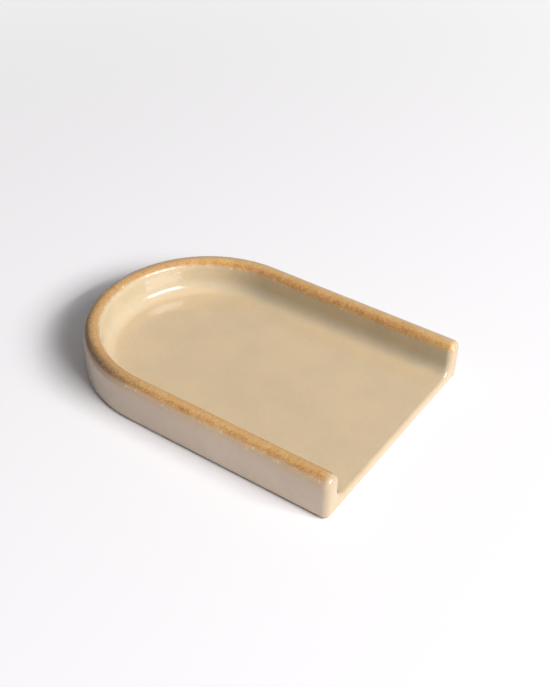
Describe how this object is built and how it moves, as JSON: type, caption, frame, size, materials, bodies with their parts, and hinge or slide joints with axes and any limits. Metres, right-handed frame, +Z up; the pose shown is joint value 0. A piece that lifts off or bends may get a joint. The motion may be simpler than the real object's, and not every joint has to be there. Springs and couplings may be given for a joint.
{
  "type": "spoon rest",
  "caption": "Arch-shaped stoneware spoon rest: a shallow glazed tray with a round back, straight sides, a coved floor, a full-round ochre lip and an open front for the handle.",
  "frame": {"origin": "on the table, under the middle of the tray's length and width", "axes": "+X across the tray, +Y from the open front to the crown of the arch, +Z up"},
  "size_m": [0.095, 0.134, 0.018],
  "materials": {
    "stoneware": "bare fired buff stoneware, matt",
    "liner_glaze": "gloss beige glaze",
    "outer_glaze": "satin grey-beige glaze",
    "rim_wash": "thin dry ochre wash with fine speckle"
  },
  "bodies": {
    "root": {"base_slab": "stoneware", "wall_strip": "stoneware", "corner_coil": "stoneware", "liner_glaze": "liner_glaze", "outer_glaze": "outer_glaze", "rim_wash": "rim_wash"}
  },
  "joints": []
}
